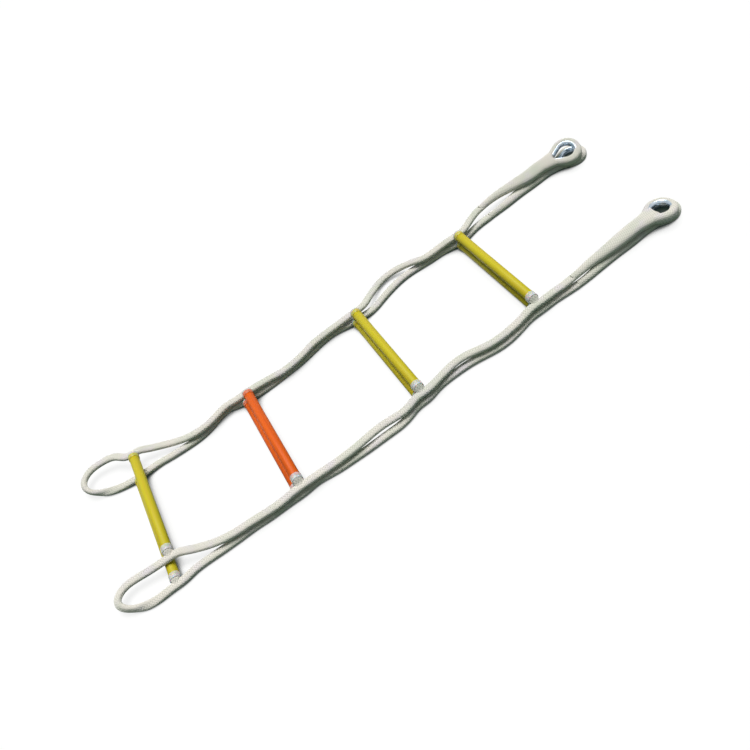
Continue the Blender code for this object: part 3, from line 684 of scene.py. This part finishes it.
def add_splice(side, number, line, phases, doubled, splice_start):
    """The thick flat sleeve of the splice, drawn over both legs up to the thimble."""
    if number == 1:
        part = line.between(0.0, splice_start)[::-1]
    else:
        part = line.between(splice_start, line.along[-1])
    eye = eye_frame(side, number)
    reached = np.arange(RING_STEP, THROAT_REACH - COVER_END[side], RING_STEP)
    cover = np.array([tuple(eye @ Vector((x - THROAT_REACH, 0, 0))) for x in reached])
    points = np.concatenate([line.points[part], cover])
    share = np.concatenate([doubled[part], np.ones(len(cover))])
    half_widths = ROPE_RADIUS + SPLICE_OFFSET * share
    half_widths[len(part):] = np.interp(reached, *zip(*COVER_WIDTHS))
    top = SEAT_HALF_HEIGHT + BULGE_HEIGHT[layer_of(number)] + COVER_LIFT
    half_heights = ROPE_RADIUS + (top - ROPE_RADIUS) * share
    bows = np.concatenate([np.zeros(len(part)), np.interp(reached, *zip(*COVER_BOWS))])
    direction = 1 if number == 8 else -1
    lead = BRAID_LEAD * (1 - SPLICE_CLOSER_BRAID)
    cover_phases = phases[part][-1] + direction * reached * BRAID_STRANDS / lead
    own_phases = np.concatenate([phases[part], cover_phases])
    fullness = 1 - SPLICE_FULLNESS * share * SPLICE_OFFSET / ROPE_RADIUS
    rolls = math.radians(EYE_PLACE[side, number][5]) * share
    name = f"{side}_eye_{number}_splice"
    piece = braided_tube(name, points, own_phases, half_widths, half_heights, fullness, rolls, bows)
    piece.data.materials.append(BRAID)
    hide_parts(f"{side}_eye_leg_{number}")
    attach(piece, eye_body(side, number))


for side in SIDES:
    line, phases, doubled, splice_starts = lay_side_rope(side)
    for number, splice_start in zip((1, 8), splice_starts):
        add_eye_rope(side, number)
        add_splice(side, number, line, phases, doubled, splice_start)

# The thimbles are pressed steel sheet, zinc plated with a bluish cast: an open channel that the
# rope lies in, bent round the eye's hole, with its two ends close together at the throat.
SHEET_INSIDE = 0.0088
SHEET_OUTSIDE = 0.0096
SHEET_REACH = 62
SHEET_ROLLED_EDGE = 3
SHEET_STEPS = 14
THIMBLE_BEND_STEPS = 72
ZINC_DARK = (0.30, 0.40, 0.48, 1.0)
ZINC_PALE = (0.52, 0.57, 0.63, 1.0)


def zinc_material():
    nodes = Nodes("zinc_plate", roughness=0.25, metallic=1.0)
    own = nodes.place()
    cast = nodes.ramp(nodes.noise(own, 60.0, 3.0), 0.3, 0.7)
    nodes.colour(nodes.mix(cast, ZINC_DARK, ZINC_PALE))
    dulled = {"Value": nodes.noise(own, 140.0, 4.0), "To Min": 0.12, "To Max": 0.36}
    dull = nodes.add("ShaderNodeMapRange", dulled)
    nodes.tree.links.new(dull.outputs[0], nodes.shader.inputs["Roughness"])
    nodes.bump(nodes.noise(own, 400.0, 3.0), 0.0001, 0.35)
    return nodes.material


def thimble_section():
    """The channel as (outward, up) from the rope's centre: a curved sheet with rolled edges."""
    hole_side, rope_side = [], []
    for n in range(SHEET_STEPS + 1):
        angle = math.radians(180 - SHEET_REACH + 2 * SHEET_REACH * n / SHEET_STEPS)
        hole_side.append((SHEET_OUTSIDE * math.cos(angle), SHEET_OUTSIDE * math.sin(angle)))
        rope_side.append((SHEET_INSIDE * math.cos(angle), SHEET_INSIDE * math.sin(angle)))
    middle = (SHEET_INSIDE + SHEET_OUTSIDE) / 2
    rolled = math.radians(SHEET_REACH + SHEET_ROLLED_EDGE)
    lower_edge = (-middle * math.cos(rolled), -middle * math.sin(rolled))
    upper_edge = (-middle * math.cos(rolled), middle * math.sin(rolled))
    return hole_side + [lower_edge] + rope_side[::-1] + [upper_edge]


def add_thimble(side, number, zinc):
    eye = eye_frame(side, number)
    path = eye_bend(EYE_BEND_RADIUS, THIMBLE_LEG, THIMBLE_BEND_STEPS)
    section = thimble_section()
    name = f"{side}_eye_{number}_thimble"
    vertices = []
    for k, point in enumerate(path):
        way = (path[min(len(path) - 1, k + 1)] - path[max(0, k - 1)]).normalized()
        outward = Vector((-way.y, way.x, 0))
        vertices += [tuple(eye @ (point + outward * out + Vector((0, 0, up)))) for out, up in section]
    count = len(section)
    faces = []
    for k in range(len(path) - 1):
        here, there = k * count, (k + 1) * count
        for n in range(count):
            after = (n + 1) % count
            faces.append((here + n, here + after, there + after, there + n))
    faces += [list(range(count))[::-1], [(len(path) - 1) * count + n for n in range(count)]]
    mesh = bpy.data.meshes.new(name)
    mesh.from_pydata(vertices, [], faces)
    mesh.shade_smooth()
    mesh.set_sharp_from_angle(angle=math.radians(65))
    piece = bpy.data.objects.new(name, mesh)
    bpy.context.scene.collection.objects.link(piece)
    mesh.materials.append(zinc)
    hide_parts(f"{side}_thimble_{number}")
    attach(piece, eye_body(side, number))


zinc = zinc_material()
for side in SIDES:
    for number in (1, 8):
        add_thimble(side, number, zinc)

# The rungs are pultruded epoxy glass tubes, 22 mm outside with a 3 mm wall, coloured right
# through: six lemon yellow, two orange. The glass rovings show as faint streaks along them.
TUBE_SIDES = 64
TUBE_WALL = 0.003
TUBE_EDGE = 0.0005
PACKED_SIDES = 16
ORANGE_RUNGS = (3, 6)
YELLOW = ((0.60, 0.52, 0.015, 1.0), (0.60, 0.40, 0.035, 1.0))
ORANGE = ((0.80, 0.125, 0.004, 1.0), (0.52, 0.060, 0.006, 1.0))


def tube_material(name, colours):
    nodes = Nodes(name, roughness=0.5)
    nodes.shader.inputs["Specular IOR Level"].default_value = 0.25
    streaks = nodes.noise(nodes.place((260.0, 5.0, 260.0)), 1.0, 4.0, 0.6)
    fine = nodes.noise(nodes.place((1500.0, 12.0, 1500.0)), 1.0, 2.0)
    blend = nodes.maths("MULTIPLY", nodes.ramp(streaks, 0.45, 0.75), 0.7)
    nodes.colour(nodes.mix(blend, colours[0], colours[1]))
    nodes.bump(fine, 0.00005, 0.5)
    return nodes.material


def turned_piece(name, profile, middle):
    """A closed profile of (radius, y) points turned about the rung's axis through its middle."""
    vertices, faces = [], []
    for radius, y in profile:
        for k in range(TUBE_SIDES):
            angle = 2 * math.pi * k / TUBE_SIDES
            vertices.append((radius * math.cos(angle), y, radius * math.sin(angle)))
    for n in range(len(profile)):
        here, there = n * TUBE_SIDES, (n + 1) % len(profile) * TUBE_SIDES
        for k in range(TUBE_SIDES):
            beside = (k + 1) % TUBE_SIDES
            faces.append((here + k, there + k, there + beside, here + beside))
    mesh = bpy.data.meshes.new(name)
    mesh.from_pydata(vertices, [], faces)
    mesh.validate()
    mesh.shade_smooth()
    mesh.set_sharp_from_angle(angle=math.radians(50))
    piece = bpy.data.objects.new(name, mesh)
    piece.location = middle
    bpy.context.scene.collection.objects.link(piece)
    return piece


def packed_radius(low, high):
    """The radius to the corners of a packed round piece, which rests on one of its flats."""
    return (high.z - low.z) / 2 / math.cos(math.pi / PACKED_SIDES)


yellow = tube_material("yellow_tube", YELLOW)
orange = tube_material("orange_tube", ORANGE)
for number in range(1, 9):
    low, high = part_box(f"rung_tube_{number}")
    half = (high.y - low.y) / 2
    outside = packed_radius(low, high)
    bore = outside - TUBE_WALL
    profile = [
        (outside - TUBE_EDGE, -half), (outside, TUBE_EDGE - half), (outside, half - TUBE_EDGE),
        (outside - TUBE_EDGE, half), (bore + TUBE_EDGE, half), (bore, half - TUBE_EDGE),
        (bore, TUBE_EDGE - half), (bore + TUBE_EDGE, -half),
    ]
    tube = turned_piece(f"rung_{number}", profile, (low + high) / 2)
    tube.data.materials.append(orange if number in ORANGE_RUNGS else yellow)
    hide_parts(f"rung_tube_{number}")
    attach(tube, TOWARDS_FOLD[number])

# A collar of milky plastic is pushed over each end of a tube. It guards the cord and the side rope
# from the cut glass edge. Over the tube, the tube's colour is painted into the collar as a painted
# glow of light shining through, stronger on the left collars, and its cap stays pale.
COLLAR_WALL = 0.0011
COLLAR_CAP = 0.0024
COLLAR_ROUND = 0.0007
COLLAR_CLEARANCE = 0.0003
CORD_RADIUS = 0.0065
COLLAR_PALE = ((0.66, 0.64, 0.67, 1.0), (0.54, 0.53, 0.55, 1.0))
# Painted glow: how strongly the tube's colour is painted into each side's collars, and where it ends.
COLLAR_PAINTED_GLOW = {"left": 0.85, "right": 0.25}
COLLAR_PAINTED_GLOW_END = {"left": 0.0028, "right": 0.0005}
COLLAR_PAINTED_GLOW_FADE = 0.0015


def collar_material(side, colour_name, colours):
    """Milky plastic, with the tube's colour painted over the tube as a see-through glow, paler
    towards the cap.
    """
    nodes = Nodes(f"collar_{side}_{colour_name}", roughness=0.38)
    nodes.shader.inputs["Subsurface Weight"].default_value = 0.3
    nodes.shader.inputs["Subsurface Scale"].default_value = 0.004
    nodes.shader.inputs["Specular IOR Level"].default_value = 0.4
    own = nodes.place()
    cloudy = nodes.ramp(nodes.noise(own, 120.0, 3.0), 0.3, 0.7)
    pale = nodes.mix(cloudy, *COLLAR_PALE)
    along_rung = nodes.add("ShaderNodeSeparateXYZ", {0: own}).outputs[1]
    outward = nodes.maths("MULTIPLY", along_rung, SIDES[side])
    end = COLLAR_PAINTED_GLOW_END[side]
    over_tube = nodes.ramp(outward, end + COLLAR_PAINTED_GLOW_FADE, end - COLLAR_PAINTED_GLOW_FADE)
    # Painted glow of the tube's colour through the plastic, not the plastic's own colour.
    painted_glow = nodes.maths("MULTIPLY", over_tube, COLLAR_PAINTED_GLOW[side])
    nodes.colour(nodes.mix(painted_glow, pale, colours[0]))
    nodes.bump(nodes.noise(own, 700.0, 2.0), 0.00006, 0.4)
    return nodes.material


for side, sign in SIDES.items():
    collar_yellow = collar_material(side, "yellow", YELLOW)
    collar_orange = collar_material(side, "orange", ORANGE)
    for number in range(1, 9):
        low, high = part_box(f"{side}_collar_{number}")
        half = (high.y - low.y) / 2
        outside = packed_radius(low, high)
        sleeve = outside - COLLAR_WALL + COLLAR_CLEARANCE
        face, mouth, inside = sign * half, -sign * half, sign * (half - COLLAR_CAP)
        edge = sign * COLLAR_ROUND
        hole = CORD_RADIUS + COLLAR_CLEARANCE
        profile = [
            (outside, mouth + edge), (outside, face - edge),
            (outside - 0.3 * COLLAR_ROUND, face - 0.3 * edge), (outside - COLLAR_ROUND, face),
            (hole + COLLAR_ROUND, face), (hole, face - edge), (hole, inside),
            (sleeve, inside), (sleeve, mouth), (outside - COLLAR_ROUND / 2, mouth),
        ]
        collar = turned_piece(f"{side}_collar_of_rung_{number}", profile, (low + high) / 2)
        collar.data.materials.append(collar_orange if number in ORANGE_RUNGS else collar_yellow)
        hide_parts(f"{side}_collar_{number}")
        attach(collar, TOWARDS_FOLD[number])

# A cross cord runs through each rung and is woven into both side ropes, which holds the rung at
# its height. It is the same braid, a little thinner, and opens out where it is woven in.
WEAVE_START = 0.0090

# Distance past the start of the weave, half width, half height, and share of the way down to
# the knot's height.
WEAVE = [
    (0.0000, 0.0102, 0.0102, 0.0),
    (0.0012, 0.0101, 0.0099, 0.12),
    (0.0035, 0.0097, 0.0088, 0.50),
    (0.0060, 0.0094, 0.0075, 0.88),
    (0.0090, 0.0090, 0.0064, 1.0),
    (0.0130, 0.0076, 0.0052, 1.0),
    (0.0160, 0.0040, 0.0030, 1.0),
    (0.0166, 0.0015, 0.0012, 1.0),
]
CORD_NECK = 0.0004
reached, widths, heights, sunk = (np.array(column) for column in zip(*WEAVE))
for number in range(1, 9):
    rung = middle_of(f"rung_tube_{number}")
    half = KNOT_OFFSET - WEAVE_START
    ends = {side: knot_place(side, number).z - rung.z for side in SIDES}
    across = np.arange(-half - reached[-1], half + reached[-1], RING_STEP / 2)
    past = np.clip(np.abs(across) - half, 0, None)
    sink = np.interp(past, reached, sunk) * np.where(across > 0, ends["left"], ends["right"])
    points = np.stack([np.full(len(across), rung.x), rung.y + across, rung.z + sink], 1)
    phases = across * BRAID_STRANDS / BRAID_LEAD
    in_tube = np.abs(across) < half - CORD_NECK
    half_widths = np.where(in_tube, CORD_RADIUS, np.interp(past, reached, widths))
    half_heights = np.where(in_tube, CORD_RADIUS, np.interp(past, reached, heights))
    name = f"cross_cord_of_rung_{number}"
    cord = braided_tube(name, points, phases, half_widths, half_heights, plumb=True)
    cord.data.materials.append(BRAID)
    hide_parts(f"cross_cord_{number}")
    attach(cord, TOWARDS_FOLD[number])

# The ladder lies on a plain white floor under one broad soft lamp, almost straight above it, with
# dark green surroundings that leave its near sides in shade. In a deep hole the floor is painted
# black by an ambient occlusion ramp, a painted shadow on top of the floor's real shadow.
FLOOR_SIZE = 12.0
FLOOR_DROP = 0.0003
HOLE_REACH = 0.05
# Painted shadow: the near-black colour the floor takes where it is enclosed, and the openness below
# which it is fully painted.
HOLE_PAINTED_SHADE = (0.01, 0.02, 0.015, 1.0)
HOLE_PAINTED_SHADE_BELOW = 0.26
HOLE_WHITE_ABOVE = 0.46
SHADOW_SHARE = 0.15
SURROUNDINGS = (0.09, 0.15, 0.11, 1.0)


def shows_white(tree):
    """1 for what the camera sees straight, in gloss or through glass, and else 0."""
    rays = tree.nodes.new("ShaderNodeLightPath")
    seen = rays.outputs["Is Camera Ray"]
    for other in ("Is Glossy Ray", "Is Transmission Ray"):
        either = tree.nodes.new("ShaderNodeMath")
        either.operation = "MAXIMUM"
        tree.links.new(seen, either.inputs[0])
        tree.links.new(rays.outputs[other], either.inputs[1])
        seen = either.outputs[0]
    return seen


def floor_material():
    material = bpy.data.materials.new("studio_floor")
    material.use_nodes = True
    tree = material.node_tree
    tree.nodes.clear()
    out = tree.nodes.new("ShaderNodeOutputMaterial")
    openness = tree.nodes.new("ShaderNodeAmbientOcclusion")
    openness.inputs["Distance"].default_value = HOLE_REACH
    white = tree.nodes.new("ShaderNodeEmission")
    # Painted shadow: the camera sees the floor white where it is open and painted black where the
    # ambient occlusion finds it enclosed.
    lit = tree.nodes.new("ShaderNodeValToRGB")
    lit.color_ramp.elements[0].position = HOLE_PAINTED_SHADE_BELOW
    lit.color_ramp.elements[0].color = HOLE_PAINTED_SHADE
    lit.color_ramp.elements[1].position = HOLE_WHITE_ABOVE
    tree.links.new(openness.outputs["AO"], lit.inputs[0])
    tree.links.new(lit.outputs[0], white.inputs[0])
    shaded = tree.nodes.new("ShaderNodeBsdfDiffuse")
    shaded.inputs["Color"].default_value = (1.0, 1.0, 1.0, 1.0)
    picture = tree.nodes.new("ShaderNodeMixShader")
    picture.inputs[0].default_value = SHADOW_SHARE
    tree.links.new(white.outputs[0], picture.inputs[1])
    tree.links.new(shaded.outputs[0], picture.inputs[2])
    around = tree.nodes.new("ShaderNodeBsdfDiffuse")
    around.inputs["Color"].default_value = SURROUNDINGS
    choose = tree.nodes.new("ShaderNodeMixShader")
    tree.links.new(shows_white(tree), choose.inputs[0])
    tree.links.new(around.outputs[0], choose.inputs[1])
    tree.links.new(picture.outputs[0], choose.inputs[2])
    tree.links.new(choose.outputs[0], out.inputs[0])
    return material


half = FLOOR_SIZE / 2
floor_mesh = bpy.data.meshes.new("floor")
corners = [(-half, -half), (half, -half), (half, half), (-half, half)]
floor_mesh.from_pydata([(x, y, -FLOOR_DROP) for x, y in corners], [], [(0, 1, 2, 3)])
floor_mesh.materials.append(floor_material())
floor = bpy.data.objects.new("floor", floor_mesh)
bpy.context.scene.collection.objects.link(floor)


def add_lamp(name, towards, softness, strength, colour):
    """A lamp so far off that it lights the whole floor evenly, from the given direction."""
    data = bpy.data.lights.new(name, "SUN")
    data.angle = math.radians(softness)
    data.energy = strength
    data.color = colour
    lamp = bpy.data.objects.new(name, data)
    bpy.context.scene.collection.objects.link(lamp)
    lamp.rotation_euler = Vector(towards).to_track_quat("Z", "Y").to_euler()


add_lamp("key_lamp", (0.10, 0.12, 1.0), 35.0, 3.0, (1.0, 0.99, 0.97))
add_lamp("front_lamp", (0.0, -0.5, 1.0), 70.0, 0.25, (0.97, 1.0, 0.99))

world = bpy.data.worlds.new("studio")
bpy.context.scene.world = world
world.use_nodes = True
tree = world.node_tree
tree.nodes.clear()
out = tree.nodes.new("ShaderNodeOutputWorld")
dim = tree.nodes.new("ShaderNodeBackground")
dim.inputs[0].default_value = (0.62, 0.92, 0.75, 1.0)
dim.inputs[1].default_value = 0.09
white = tree.nodes.new("ShaderNodeBackground")
white.inputs[0].default_value = (1.0, 1.0, 1.0, 1.0)
choose = tree.nodes.new("ShaderNodeMixShader")
tree.links.new(shows_white(tree), choose.inputs[0])
tree.links.new(dim.outputs[0], choose.inputs[1])
tree.links.new(white.outputs[0], choose.inputs[2])
tree.links.new(choose.outputs[0], out.inputs[0])
bpy.context.scene.view_settings.view_transform = "Standard"
